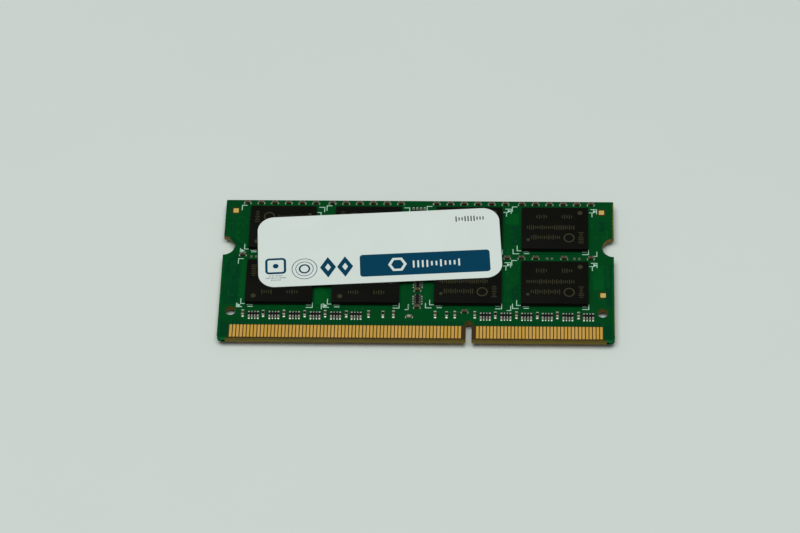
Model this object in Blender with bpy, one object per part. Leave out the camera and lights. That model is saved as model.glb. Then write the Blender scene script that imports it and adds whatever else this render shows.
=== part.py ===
"""Laptop memory module: a 204-contact circuit board with memory packages on both faces.

Frame: metres, +Z up out of the face that carries the label, +X along the board's long side and
+Y away from its contact edge. The origin lies under the board's centre, level with the lowest
faces of the packages on the underside.
"""

import math

import bmesh
import bpy

MM = 0.001

# Board
BOARD_LENGTH = 67.6 * MM
BOARD_WIDTH = 30.0 * MM
BOARD_THICKNESS = 1.0 * MM
CORNER_RADIUS = 0.95 * MM
EDGE_CHAMFER = 0.25 * MM
KEY_X = 9.0 * MM
KEY_WIDTH = 1.0 * MM
KEY_DEPTH = 4.0 * MM
LATCH_RADIUS = 2.0 * MM
LATCH_FROM_EDGE = 20.0 * MM
HOLE_DIAMETER = 1.8 * MM
HOLE_FROM_SIDE = 2.05 * MM
HOLE_FROM_EDGE = 6.0 * MM
CORNER_STEPS = 6
ROUND_STEPS = 16

# Edge contacts, plated lands that are one piece with the board
CONTACT_PITCH = 0.6 * MM
CONTACT_WIDTH = 0.45 * MM
CONTACT_LENGTH = 2.55 * MM
CONTACT_HEIGHT = 0.04 * MM
CONTACT_ROOT = 0.1 * MM
CONTACT_FROM_EDGE = 0.5 * MM
CONTACT_FROM_KEY = 1.5 * MM
CONTACT_FROM_SIDE = 2.3 * MM

# Memory packages, which stand on their solder balls
PACKAGE_LENGTH = 11.5 * MM
PACKAGE_WIDTH = 9.0 * MM
PACKAGE_HEIGHT = 0.8 * MM
PACKAGE_STANDOFF = 0.3 * MM
PACKAGE_EDGE = 0.06 * MM

# Identity memory, an eight-lead package
EEPROM_LENGTH = 4.4 * MM
EEPROM_WIDTH = 3.0 * MM
EEPROM_HEIGHT = 0.9 * MM
EEPROM_DRAFT = math.radians(8)
EEPROM_STANDOFF = 0.1 * MM
EEPROM_SPAN = 6.4 * MM
EEPROM_FROM_TOP = 1.7 * MM
EEPROM_CLEARANCE = 1.5 * MM
EEPROM_X = -0.05 * MM
LEAD_PITCH = 0.65 * MM
LEAD_WIDTH = 0.25 * MM
LEAD_THICKNESS = 0.13 * MM
LEAD_FOOT = 0.6 * MM
LEADS_PER_SIDE = 4

# Chip parts
SOLDER_GAP = 0.05 * MM
ARRAY_LENGTH = 2.0 * MM
ARRAY_WIDTH = 1.0 * MM
ARRAY_HEIGHT = 0.45 * MM
ARRAY_PITCH = 0.5 * MM
ARRAY_NOTCH_WIDTH = 0.18 * MM
ARRAY_NOTCH_DEPTH = 0.1 * MM
ARRAY_ELEMENTS = 4
CAPACITOR_LENGTH = 1.0 * MM
CAPACITOR_WIDTH = 0.5 * MM
CAPACITOR_CAP = 0.25 * MM
CAPACITOR_CAP_PROUD = 0.015 * MM
CAPACITOR_CAP_ROUND = 0.03 * MM

# Rows across the board. What the pieces leave free is shared out in these proportions, from the
# contacts to the far edge: arrays, packages, middle capacitors, packages, edge capacitors.
ROW_GAP_SHARES = (1.55, 1.6, 1.1, 1.1, 1.15, 0.45)

# Columns along the board. The identity memory and its clearance set the middle gap, and the rest
# of the free length is shared between the side margins and the gap inside each pair of columns.
MARGIN_SHARE = 4.45
PAIR_GAP_SHARE = 3.35

# Edge capacitors, six over each package column
CAPACITORS_PER_COLUMN = 6
CAPACITOR_COLUMN_GAP = 2.85 * MM
CAPACITOR_OFFSETS = (-0.5 * MM, -0.5 * MM, 0.25 * MM, 0.25 * MM)

# Middle capacitors, three between the package rows where the label leaves them free
MIDDLE_CAPACITORS = 3
MIDDLE_CAPACITOR_START = -8.2 * MM
MIDDLE_CAPACITOR_PITCH = 2.45 * MM

# Resistor arrays: a row of six over each half's contacts, and two in the middle column
ARRAYS_PER_ROW = 6
ARRAY_ROW_OVERRUN = 2.7 * MM
ARRAY_ROW_STARTS = (-4.15 * MM, 3.05 * MM)
MIDDLE_ARRAY_X = 0.15 * MM
MIDDLE_ARRAY_OFFSETS = (-3.2 * MM, 0.3 * MM)

# Label, a thin sheet stuck to the packages' tops
LABEL_LENGTH = 41.95 * MM
LABEL_WIDTH = 15.1 * MM
LABEL_THICKNESS = 0.1 * MM
LABEL_RADIUS = 2.9 * MM
LABEL_TURN = math.radians(3.66)
LABEL_GAP = 0.02 * MM
LABEL_X = -6.67 * MM
LABEL_FROM_ROWS = 1.3 * MM

BOARD_BOTTOM = PACKAGE_STANDOFF + PACKAGE_HEIGHT
BOARD_TOP = BOARD_BOTTOM + BOARD_THICKNESS
CONTACT_EDGE_Y = -BOARD_WIDTH / 2
FAR_EDGE_Y = BOARD_WIDTH / 2
SIDE_X = BOARD_LENGTH / 2


def clear_scene():
    """Remove whatever the start-up file holds."""
    for thing in list(bpy.data.objects):
        bpy.data.objects.remove(thing, do_unlink=True)


def material(name, colour, roughness, metallic=0.0):
    """Plain Principled material; the colour is linear red, green and blue."""
    made = bpy.data.materials.new(name)
    made.use_nodes = True
    shader = made.node_tree.nodes["Principled BSDF"]
    shader.inputs["Base Color"].default_value = (*colour, 1.0)
    shader.inputs["Roughness"].default_value = roughness
    shader.inputs["Metallic"].default_value = metallic
    made.diffuse_color = (*colour, 1.0)
    return made


def add_object(name, mesh, place=(0.0, 0.0, 0.0), turn=(0.0, 0.0, 0.0)):
    """Link one mesh into the scene as an object."""
    made = bpy.data.objects.new(name, mesh)
    made.location = place
    made.rotation_euler = turn
    bpy.context.collection.objects.link(made)
    return made


def mesh_from(bm, name, coat=None):
    """Turn a bmesh into a mesh with outward faces and one material."""
    bmesh.ops.recalc_face_normals(bm, faces=bm.faces)
    mesh = bpy.data.meshes.new(name)
    bm.to_mesh(mesh)
    bm.free()
    if coat:
        mesh.materials.append(coat)
    return mesh


def prism(bm, outline, low, high):
    """Extrude a closed outline of (x, y) points from one height to another."""
    face = bm.faces.new([bm.verts.new((x, y, low)) for x, y in outline])
    grown = bmesh.ops.extrude_face_region(bm, geom=[face])
    lifted = [part for part in grown["geom"] if isinstance(part, bmesh.types.BMVert)]
    bmesh.ops.translate(bm, verts=lifted, vec=(0.0, 0.0, high - low))


def box(bm, centre, size):
    """Add a plain box, given its centre and its full size."""
    made = bmesh.ops.create_cube(bm, size=1.0)
    bmesh.ops.scale(bm, verts=made["verts"], vec=size)
    bmesh.ops.translate(bm, verts=made["verts"], vec=centre)


def stack(bm, sections):
    """Join rectangles one above another: each is (half x, half y, z), closed at both ends."""
    rings = []
    for half_x, half_y, z in sections:
        corners = ((-1, -1), (1, -1), (1, 1), (-1, 1))
        rings.append([bm.verts.new((sx * half_x, sy * half_y, z)) for sx, sy in corners])
    for lower, upper in zip(rings, rings[1:]):
        for i in range(4):
            j = (i + 1) % 4
            bm.faces.new((lower[i], lower[j], upper[j], upper[i]))
    bm.faces.new(rings[0][::-1])
    bm.faces.new(rings[-1])


def arc(centre_x, centre_y, radius, start, end, steps):
    """Points on a circle from one angle to another, in degrees, both ends included."""
    angles = [math.radians(start + (end - start) * i / steps) for i in range(steps + 1)]
    return [(centre_x + radius * math.cos(a), centre_y + radius * math.sin(a)) for a in angles]


def hide_cutter(thing):
    """Mark a piece as a modelling aid that isn't part of the module."""
    thing.hide_render = True
    thing.display_type = "WIRE"


def add_boolean(target, operand, operation):
    """Join, cut or intersect one object with another."""
    modifier = target.modifiers.new(operation.title(), "BOOLEAN")
    modifier.operation = operation
    modifier.object = operand
    modifier.solver = "EXACT"
    hide_cutter(operand)


# Layout

def row_centres():
    """Y of the five component rows, from the contact edge to the far edge."""
    depths = (ARRAY_WIDTH, PACKAGE_WIDTH, CAPACITOR_WIDTH, PACKAGE_WIDTH, CAPACITOR_WIDTH)
    start = CONTACT_EDGE_Y + CONTACT_FROM_EDGE + CONTACT_LENGTH
    free = FAR_EDGE_Y - start - sum(depths)
    centres = []
    y = start
    for depth, share in zip(depths, ROW_GAP_SHARES):
        y += free * share / sum(ROW_GAP_SHARES)
        centres.append(y + depth / 2)
        y += depth
    return centres


def column_centres():
    """X of the four package columns."""
    middle_gap = EEPROM_WIDTH + 2 * EEPROM_CLEARANCE
    free = BOARD_LENGTH - 4 * PACKAGE_LENGTH - middle_gap
    pair_gap = free / 2 * PAIR_GAP_SHARE / (MARGIN_SHARE + PAIR_GAP_SHARE)
    inner = (middle_gap + PACKAGE_LENGTH) / 2
    outer = inner + PACKAGE_LENGTH + pair_gap
    return [-outer, -inner, inner, outer]


def contact_centres():
    """X of every contact on one face: both rows run from the key notch towards the sides."""
    rounding = 0.001
    centres = []
    for way in (-1, 1):
        first = KEY_X + way * CONTACT_FROM_KEY
        run = SIDE_X - CONTACT_FROM_SIDE - way * first
        count = int(run / CONTACT_PITCH + rounding) + 1
        centres += [first + way * CONTACT_PITCH * i for i in range(count)]
    return sorted(centres)


# Pieces

def board_outline():
    """The routed outline, anticlockwise from the corner at the contact edge's left end."""
    low = CONTACT_EDGE_Y
    key_round = KEY_WIDTH / 2
    key_top = low + KEY_DEPTH - key_round
    latch_y = low + LATCH_FROM_EDGE
    corner = CORNER_RADIUS
    points = arc(-SIDE_X + corner, low + corner, corner, 180, 270, CORNER_STEPS)
    points.append((KEY_X - key_round, low))
    points += arc(KEY_X, key_top, key_round, 180, 0, ROUND_STEPS // 2)
    points.append((KEY_X + key_round, low))
    points += arc(SIDE_X - corner, low + corner, corner, -90, 0, CORNER_STEPS)
    points += arc(SIDE_X, latch_y, LATCH_RADIUS, -90, -270, ROUND_STEPS)
    points += [(SIDE_X, FAR_EDGE_Y), (-SIDE_X, FAR_EDGE_Y)]
    points += arc(-SIDE_X, latch_y, LATCH_RADIUS, 90, -90, ROUND_STEPS)
    return points


def board_blank(coat):
    """A bar with the board's cross-section, its contact edge chamfered on both faces."""
    half = BOARD_THICKNESS / 2
    middle = BOARD_BOTTOM + half
    low, high = CONTACT_EDGE_Y, FAR_EDGE_Y
    nose = half - EDGE_CHAMFER
    section = [(low, -nose), (low + EDGE_CHAMFER, -half), (high, -half)]
    section += [(high, half), (low + EDGE_CHAMFER, half), (low, nose)]
    bm = bmesh.new()
    ends = []
    for x in (-SIDE_X, SIDE_X):
        ends.append([bm.verts.new((x, y, middle + z)) for y, z in section])
    for i in range(len(section)):
        j = (i + 1) % len(section)
        bm.faces.new((ends[0][i], ends[0][j], ends[1][j], ends[1][i]))
    bm.faces.new(ends[0])
    bm.faces.new(ends[1])
    return mesh_from(bm, "board", coat)


def add_board(coat):
    """The laminate board with its notches, holes and raised contact lands."""
    overshoot = BOARD_THICKNESS
    board = add_object("board", board_blank(coat))

    bm = bmesh.new()
    prism(bm, board_outline(), BOARD_BOTTOM - overshoot, BOARD_TOP + overshoot)
    add_boolean(board, add_object("outline_guide", mesh_from(bm, "outline_guide")), "INTERSECT")

    bm = bmesh.new()
    radius = HOLE_DIAMETER / 2
    for way in (-1, 1):
        x = way * (SIDE_X - HOLE_FROM_SIDE)
        circle = arc(x, CONTACT_EDGE_Y + HOLE_FROM_EDGE, radius, 0, 360, ROUND_STEPS)
        prism(bm, circle[:-1], BOARD_BOTTOM - overshoot, BOARD_TOP + overshoot)
    add_boolean(board, add_object("hole_cutter", mesh_from(bm, "hole_cutter")), "DIFFERENCE")

    bm = bmesh.new()
    size = (CONTACT_WIDTH, CONTACT_LENGTH, CONTACT_HEIGHT + CONTACT_ROOT)
    y = CONTACT_EDGE_Y + CONTACT_FROM_EDGE + CONTACT_LENGTH / 2
    rise = (CONTACT_HEIGHT - CONTACT_ROOT) / 2
    for x in contact_centres():
        box(bm, (x, y, BOARD_TOP + rise), size)
        box(bm, (x, y, BOARD_BOTTOM - rise), size)
    add_boolean(board, add_object("land_guide", mesh_from(bm, "land_guide")), "UNION")


def add_packages(coat):
    """Eight memory packages on each face, in two rows of four."""
    bm = bmesh.new()
    half_x, half_y = PACKAGE_LENGTH / 2, PACKAGE_WIDTH / 2
    edge = PACKAGE_EDGE
    stack(bm, [
        (half_x, half_y, 0.0),
        (half_x, half_y, PACKAGE_HEIGHT - edge),
        (half_x - edge, half_y - edge, PACKAGE_HEIGHT),
    ])
    mesh = mesh_from(bm, "memory_package", coat)
    rows = row_centres()
    number = 0
    for y in (rows[3], rows[1]):
        for x in column_centres():
            number += 1
            add_object(f"memory_top_{number}", mesh, (x, y, BOARD_TOP + PACKAGE_STANDOFF))
            add_object(f"memory_bottom_{number}", mesh, (x, y, PACKAGE_HEIGHT), (math.pi, 0.0, 0.0))


def lead_profile():
    """Side view of one gull-wing lead as (distance from the body's centre, height) points."""
    tip = EEPROM_SPAN / 2
    root = EEPROM_LENGTH / 2 - LEAD_THICKNESS
    shoulder = EEPROM_LENGTH / 2 + LEAD_THICKNESS * 2
    heel = tip - LEAD_FOOT
    low = SOLDER_GAP
    thick = LEAD_THICKNESS
    middle = EEPROM_STANDOFF + EEPROM_HEIGHT / 2
    lower = [(root, middle - thick / 2), (shoulder - thick, middle - thick / 2), (heel - thick, low)]
    upper = [(tip, low), (tip, low + thick), (heel, low + thick), (shoulder, middle + thick / 2)]
    return lower + upper + [(root, middle + thick / 2)]


def add_eeprom(coat):
    """The identity memory: a moulded body that four leads leave on each short side."""
    half_x, half_y = EEPROM_WIDTH / 2, EEPROM_LENGTH / 2
    draft = EEPROM_HEIGHT * math.tan(EEPROM_DRAFT) / 2
    low, high = EEPROM_STANDOFF, EEPROM_STANDOFF + EEPROM_HEIGHT
    bm = bmesh.new()
    stack(bm, [
        (half_x - draft, half_y - draft, low),
        (half_x, half_y, (low + high) / 2),
        (half_x - draft, half_y - draft, high),
    ])
    y = FAR_EDGE_Y - EEPROM_FROM_TOP - EEPROM_SPAN / 2
    place = (EEPROM_X, y, BOARD_TOP)
    eeprom = add_object("identity_memory", mesh_from(bm, "identity_memory", coat), place)

    bm = bmesh.new()
    profile = lead_profile()
    for way in (-1, 1):
        for i in range(LEADS_PER_SIDE):
            x = (i - (LEADS_PER_SIDE - 1) / 2) * LEAD_PITCH
            sides = []
            for side_x in (x - LEAD_WIDTH / 2, x + LEAD_WIDTH / 2):
                sides.append([bm.verts.new((side_x, way * out, z)) for out, z in profile])
            for a in range(len(profile)):
                b = (a + 1) % len(profile)
                bm.faces.new((sides[0][a], sides[0][b], sides[1][b], sides[1][a]))
            bm.faces.new(sides[0])
            bm.faces.new(sides[1])
    guide = add_object("lead_guide", mesh_from(bm, "lead_guide"), place)
    add_boolean(eeprom, guide, "UNION")


def array_mesh(coat):
    """A four-element resistor array: a slab with notches between its terminals."""
    half_x, half_y = ARRAY_LENGTH / 2, ARRAY_WIDTH / 2
    inner_y = half_y - ARRAY_NOTCH_DEPTH
    side = [(-half_x, -half_y)]
    for i in range(ARRAY_ELEMENTS - 1):
        x = (i - (ARRAY_ELEMENTS - 2) / 2) * ARRAY_PITCH
        left, right = x - ARRAY_NOTCH_WIDTH / 2, x + ARRAY_NOTCH_WIDTH / 2
        side += [(left, -half_y), (left, -inner_y), (right, -inner_y), (right, -half_y)]
    side.append((half_x, -half_y))
    bm = bmesh.new()
    prism(bm, side + [(-x, -y) for x, y in side], 0.0, ARRAY_HEIGHT)
    return mesh_from(bm, "resistor_array", coat)


def add_arrays(coat):
    """Twelve arrays above the contacts, and two turned ones in the middle column."""
    mesh = array_mesh(coat)
    rows = row_centres()
    columns = column_centres()
    pitch = (columns[1] - columns[0] + ARRAY_ROW_OVERRUN) / (ARRAYS_PER_ROW - 1)
    z = BOARD_TOP + SOLDER_GAP
    number = 0
    for column, start in zip((columns[0], columns[2]), ARRAY_ROW_STARTS):
        for i in range(ARRAYS_PER_ROW):
            number += 1
            add_object(f"resistor_array_{number}", mesh, (column + start + i * pitch, rows[0], z))
    for offset in MIDDLE_ARRAY_OFFSETS:
        number += 1
        place = (MIDDLE_ARRAY_X, rows[1] + offset, z)
        add_object(f"resistor_array_{number}", mesh, place, (0.0, 0.0, math.pi / 2))


def capacitor_mesh(coat):
    """A chip capacitor along X: a ceramic block between two slightly proud metal end caps."""
    half = CAPACITOR_WIDTH / 2
    body = half - CAPACITOR_CAP_PROUD
    edge = CAPACITOR_CAP_ROUND
    end = CAPACITOR_LENGTH / 2
    inner = end - CAPACITOR_CAP
    sections = [(half - edge, half - edge, -end), (half, half, -end + edge), (half, half, -inner)]
    sections += [(body, body, -inner)]
    sections += [(x, y, -z) for x, y, z in reversed(sections)]
    bm = bmesh.new()
    stack(bm, sections)
    for vertex in bm.verts:
        x, y, z = vertex.co
        vertex.co = (z, x, y + half)
    return mesh_from(bm, "capacitor", coat)


def add_capacitors(coat):
    """Six over each package column at the far edge, and three between the package rows."""
    mesh = capacitor_mesh(coat)
    columns = column_centres()
    rows = row_centres()
    z = BOARD_TOP + SOLDER_GAP
    pitch = (columns[1] - columns[0] - CAPACITOR_COLUMN_GAP) / (CAPACITORS_PER_COLUMN - 1)
    number = 0
    for column, offset in zip(columns, CAPACITOR_OFFSETS):
        for i in range(CAPACITORS_PER_COLUMN):
            number += 1
            x = column + offset + (i - (CAPACITORS_PER_COLUMN - 1) / 2) * pitch
            add_object(f"edge_capacitor_{number}", mesh, (x, rows[4], z))
    for i in range(MIDDLE_CAPACITORS):
        x = columns[3] + MIDDLE_CAPACITOR_START + i * MIDDLE_CAPACITOR_PITCH
        add_object(f"middle_capacitor_{i + 1}", mesh, (x, rows[2], z))


def add_label(coat):
    """The label: a thin sheet with round corners, turned a little, over three columns."""
    half_x = LABEL_LENGTH / 2 - LABEL_RADIUS
    half_y = LABEL_WIDTH / 2 - LABEL_RADIUS
    outline = arc(-half_x, -half_y, LABEL_RADIUS, 180, 270, CORNER_STEPS)
    outline += arc(half_x, -half_y, LABEL_RADIUS, 270, 360, CORNER_STEPS)
    outline += arc(half_x, half_y, LABEL_RADIUS, 0, 90, CORNER_STEPS)
    outline += arc(-half_x, half_y, LABEL_RADIUS, 90, 180, CORNER_STEPS)
    bm = bmesh.new()
    prism(bm, outline, 0.0, LABEL_THICKNESS)
    rows = row_centres()
    y = (rows[1] + rows[3]) / 2 + LABEL_FROM_ROWS
    z = BOARD_TOP + PACKAGE_STANDOFF + PACKAGE_HEIGHT + LABEL_GAP
    add_object("label", mesh_from(bm, "label", coat), (LABEL_X, y, z), (0.0, 0.0, LABEL_TURN))


def main():
    """Build the whole module."""
    clear_scene()
    add_board(material("solder_mask_board", (0.004, 0.052, 0.014), 0.35))
    add_packages(material("mould_compound", (0.006, 0.006, 0.005), 0.55))
    add_eeprom(material("eeprom_mould", (0.008, 0.008, 0.008), 0.5))
    add_arrays(material("array_ceramic", (0.02, 0.018, 0.016), 0.4))
    add_capacitors(material("capacitor_ceramic", (0.16, 0.09, 0.05), 0.45))
    add_label(material("label_vinyl", (0.62, 0.66, 0.62), 0.5))


main()
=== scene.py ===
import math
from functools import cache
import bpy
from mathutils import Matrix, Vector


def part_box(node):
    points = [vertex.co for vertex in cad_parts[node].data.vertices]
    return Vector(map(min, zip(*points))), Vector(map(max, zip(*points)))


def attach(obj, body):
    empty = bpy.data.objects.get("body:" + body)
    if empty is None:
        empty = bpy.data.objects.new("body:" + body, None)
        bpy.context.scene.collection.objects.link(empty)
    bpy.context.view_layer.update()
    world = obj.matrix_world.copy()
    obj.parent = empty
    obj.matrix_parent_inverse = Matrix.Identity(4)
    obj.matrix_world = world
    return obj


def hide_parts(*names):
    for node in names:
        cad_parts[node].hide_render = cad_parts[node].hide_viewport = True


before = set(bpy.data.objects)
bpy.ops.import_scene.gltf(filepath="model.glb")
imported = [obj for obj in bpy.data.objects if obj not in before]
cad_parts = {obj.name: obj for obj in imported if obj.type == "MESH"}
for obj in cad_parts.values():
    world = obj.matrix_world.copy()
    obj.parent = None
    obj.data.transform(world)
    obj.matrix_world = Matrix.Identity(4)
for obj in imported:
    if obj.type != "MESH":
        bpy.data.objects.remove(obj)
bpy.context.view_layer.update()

# A laptop memory module lying flat: a green board with gold contacts, sixteen memory packages, chip
# parts and a printed label. Shapes are worked out in millimetres and turned to metres when a piece
# is made. Places come from the CAD nodes' boxes.

from types import SimpleNamespace

import bpy
import numpy as np
from bpy.props import FloatProperty, FloatVectorProperty, IntProperty, PointerProperty
from mathutils import Matrix
from mathutils.geometry import tessellate_polygon

bl_info = {
    "name": "Memory module",
    "version": (1, 0, 0),
    "blender": (4, 5, 0),
    "location": "View3D > Sidebar > Memory module",
    "description": "Builds the visible pieces of a laptop memory module over its CAD frame",
    "category": "Add Mesh",
}

MM = 0.001


def linear(hex_colour):
    """An sRGB hex colour as linear red, green and blue: the standard curve, straight near black."""
    code = hex_colour.lstrip("#")
    share = np.array([int(code[i:i + 2], 16) for i in (0, 2, 4)]) / 255.0
    bent = ((share + 0.055) / 1.055) ** 2.4
    return tuple(float(value) for value in np.where(share <= 0.04045, share / 12.92, bent))


def length(name, description, size):
    """A length setting, given in millimetres."""
    return FloatProperty(
        name=name, description=description, default=size * MM, min=0.0, precision=5, unit="LENGTH"
    )


def colour(name, description, hex_colour):
    """A colour setting, given as sRGB hex."""
    return FloatVectorProperty(
        name=name, description=description, default=linear(hex_colour), min=0.0, max=1.0,
        size=3, subtype="COLOR",
    )


# Settings

class BoardSettings(bpy.types.PropertyGroup):
    """Sizes of the board, its mask and its contacts."""
    corner_radius: length("Corner radius", "Round corners at the contact edge", 0.95)
    far_radius: length("Far corner radius", "Small round corners at the far edge", 0.25)
    chamfer: length("Edge chamfer", "Chamfer along the contact edge, on both faces", 0.25)
    key_x: length("Key notch place", "Key notch from the board's middle", 9.0)
    key_width: length("Key notch width", "Width of the key notch", 1.0)
    key_depth: length("Key notch depth", "Depth of the key notch from the contact edge", 4.0)
    latch_radius: length("Latch notch radius", "Radius of the half-round side notches", 2.0)
    latch_from_edge: length("Latch notch place", "Side notches from the contact edge", 20.0)
    hole_diameter: length("Hole diameter", "Diameter of the two drilled holes", 1.8)
    hole_from_side: length("Hole from side", "Hole centres from the short sides", 2.05)
    hole_from_edge: length("Hole from edge", "Hole centres from the contact edge", 6.0)
    mask: length("Mask thickness", "Thickness of the solder mask", 0.02)
    mask_margin: length("Mask margin", "Bare laminate left round notches and holes", 0.03)
    mask_inset: length("Mask inset", "Bare laminate left along the outline", 0.015)
    mask_window: length("Mask window", "Bare laminate left round the contacts", 0.22)
    fiducial: length("Fiducial size", "Side of a square fiducial pad", 0.93)
    fiducial_window: length("Fiducial window", "Side of the mask's opening round it", 1.4)
    contact_pitch: length("Contact pitch", "Spacing of the edge contacts", 0.6)
    contact_width: length("Contact width", "Width of one edge contact", 0.45)
    contact_length: length("Contact length", "Length of one edge contact", 2.55)
    contact_height: length("Contact height", "Height of a contact above the laminate", 0.04)
    contact_from_edge: length("Contact from edge", "Bare edge in front of the contacts", 0.5)
    contact_from_key: length("Contact from key", "Nearest contact centre to the key notch", 1.5)
    contact_from_side: length("Contact from side", "Outer contact centre from the side", 2.3)
    trace: length("Trace width", "Width of a copper trace under the mask", 0.12)
    relief: length("Copper relief", "How far masked copper stands up", 0.012)


class PackageSettings(bpy.types.PropertyGroup):
    """Sizes of the memory packages and of the identity memory."""
    substrate: length("Substrate thickness", "Thickness of the package's own small board", 0.24)
    edge: length("Mould edge", "Worn edge of the moulded cap", 0.05)
    ball_pitch: length("Ball pitch", "Spacing of the solder balls", 0.8)
    ball: length("Ball diameter", "Width of a solder ball at its middle", 0.45)
    mark: length("Mark relief", "Height of the laser-marked strokes", 0.003)
    dot: length("Corner dot", "Diameter of the dot that marks the first ball", 0.86)
    lead_width: length("Lead width", "Width of an identity memory lead", 0.25)
    lead_thickness: length("Lead thickness", "Thickness of an identity memory lead", 0.13)
    lead_pitch: length("Lead pitch", "Spacing of the identity memory's leads", 0.65)
    lead_foot: length("Lead foot", "Flat end of a lead on its pad", 0.6)


class ChipSettings(bpy.types.PropertyGroup):
    """Sizes of the small chip parts."""
    seat: length("Solder gap", "Solder between a chip part and the board", 0.05)
    single_length: length("Chip length", "Length of a two-ended chip part", 1.0)
    single_width: length("Chip width", "Width of a two-ended chip part", 0.5)
    resistor_height: length("Resistor height", "Height of a single chip resistor", 0.38)
    cap: length("End cap", "Length of a chip part's metal end", 0.25)
    array_pitch: length("Array pitch", "Spacing of an array's terminals", 0.5)
    array_terminal: length("Array terminal", "Width of an array's terminal", 0.3)
    pad: length("Pad height", "Height of a tinned pad", 0.025)


class LabelSettings(bpy.types.PropertyGroup):
    """Sizes of the printed label."""
    label_length: length("Label length", "Length of the label", 41.95)
    label_width: length("Label width", "Width of the label", 15.1)
    radius: length("Corner radius", "Round corners of the label", 2.9)
    ink: length("Ink thickness", "Thickness of the printed ink", 0.004)
    turn: FloatProperty(
        name="Turn", description="How far the label is turned on the board",
        default=math.radians(3.66), subtype="ANGLE",
    )


class FinishSettings(bpy.types.PropertyGroup):
    """Colours of the finishes."""
    mask: colour("Solder mask", "Mask over the copper pour", "#00441b")
    mask_copper: colour("Mask on traces", "Mask over raised copper", "#004e1d")
    mask_bare: colour("Mask on laminate", "Mask over bare laminate", "#003c1f")
    # The corner mask's lighter green is a painted highlight on the round front corners, whose upright
    # faces get little of the overhead lamp.
    mask_rim: colour("Mask on corners", "Thin mask run over the round corners", "#08602c")
    laminate: colour("Laminate", "Glass-epoxy laminate", "#7a6618")
    glass: colour("Glass ends", "Broken glass threads on the cut edges", "#8a7b38")
    resin: colour("Resin face", "Smooth resin where nothing covers the laminate", "#3a2602")
    frayed: colour("Frayed resin", "Torn resin and glass along a routed side", "#6c6a2c")
    gold: colour("Gold", "Hard gold plating", "#ebbb54")
    blush: colour("Gold blush", "Pinker gold that some contacts drift to", "#f0c16d")
    pale_gold: colour("Pale gold", "Thin gold of the fiducial squares", "#efd078")
    mould: colour("Mould compound", "Moulded epoxy of the packages", "#0f0f0a")
    laser: colour("Laser mark", "Burnt marks on the mould compound", "#3c3826")
    substrate: colour("Package substrate", "Sawn edge of the package's own board", "#141e14")
    solder: colour("Solder", "Reflowed tin solder", "#e9e9dc")
    ceramic: colour("Capacitor ceramic", "Sintered capacitor body", "#544428")
    alumina: colour("Alumina", "White ceramic of the resistors", "#a09c88")
    glaze: colour("Resistor glaze", "Black glass over the resistors", "#121210")
    silk: colour("Silkscreen ink", "Printed marks on the board", "#b4d6c2")
    film: colour("Label film", "White label film", "#e4e7e3")
    blue_ink: colour("Blue ink", "Printed blocks of the label", "#013f5a")
    dark_ink: colour("Dark ink", "Small dark print of the label", "#20282c")
    floor: colour("Floor", "Pale studio floor", "#dfe1dd")


class StageSettings(bpy.types.PropertyGroup):
    """The camera, the lights and the floor."""
    lens: FloatProperty(name="Lens", description="Focal length", default=149.5, unit="CAMERA")
    distance: length("Camera distance", "Camera from the point it looks at", 572.4)
    elevation: FloatProperty(
        name="Elevation", description="Camera's angle above the floor",
        default=math.radians(53.03), subtype="ANGLE",
    )
    azimuth: FloatProperty(
        name="Azimuth", description="Camera's turn towards the module's right end",
        default=math.radians(3.724), subtype="ANGLE",
    )
    roll: FloatProperty(
        name="Roll", description="Camera's turn about its own axis",
        default=math.radians(-2.584), subtype="ANGLE",
    )
    key_power: FloatProperty(
        name="Key light", description="Power of the overhead softbox", default=14.3, unit="POWER",
    )
    room: FloatProperty(name="Room light", description="Strength of the even room light", default=0.18)
    light_tint: colour("Light tint", "Slightly cool green cast of the light", "#f4fdfa")
    floor_size: length("Floor size", "Side of the square floor", 3000.0)
    seed: IntProperty(name="Seed", description="Order of the small chance differences", default=7)


class ModuleSettings(bpy.types.PropertyGroup):
    """Everything that the operators read."""
    board: PointerProperty(type=BoardSettings, name="Board", description="Board sizes")
    packages: PointerProperty(type=PackageSettings, name="Packages", description="Package sizes")
    chips: PointerProperty(type=ChipSettings, name="Chips", description="Chip part sizes")
    label: PointerProperty(type=LabelSettings, name="Label", description="Label sizes")
    finishes: PointerProperty(type=FinishSettings, name="Finishes", description="Colours")
    stage: PointerProperty(type=StageSettings, name="Stage", description="Camera and lights")


def in_mm(group):
    """A group's values under their own names, with its lengths in millimetres."""
    kinds = group.bl_rna.properties
    return SimpleNamespace(**{
        key: getattr(group, key) / (MM if kinds[key].unit == "LENGTH" else 1.0)
        for key in type(group).__annotations__
    })


@cache
def node_box(node):
    """A CAD node's lowest corner, highest corner and middle, in millimetres, read once."""
    low, high = (np.array(corner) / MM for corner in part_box(node))
    return low, high, (low + high) / 2


# Surfaces. A part is (points, list of face arrays, finish name).

def skin(rings, finish, closed=False):
    """Faces over rings of points, each ring right-handed about the way the rings run.

    Ring r, point i joins ring r, point i + 1 and the same two points of ring r + 1. The two ends
    are closed by flat faces, or joined to each other when closed is set."""
    rows, around = rings.shape[:2]
    here = np.arange(rows * around).reshape(rows, around)
    ahead = np.roll(here, -1, axis=1)
    onward = np.roll(np.stack([here, ahead]), -1, axis=1)
    stop = rows if closed else rows - 1
    sides = np.stack([here[:stop], ahead[:stop], onward[1, :stop], onward[0, :stop]], axis=-1)
    faces = [sides.reshape(-1, 4)]
    if not closed:
        faces += [here[:1, ::-1], here[-1:]]
    return rings.reshape(-1, 3), faces, finish


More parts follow.
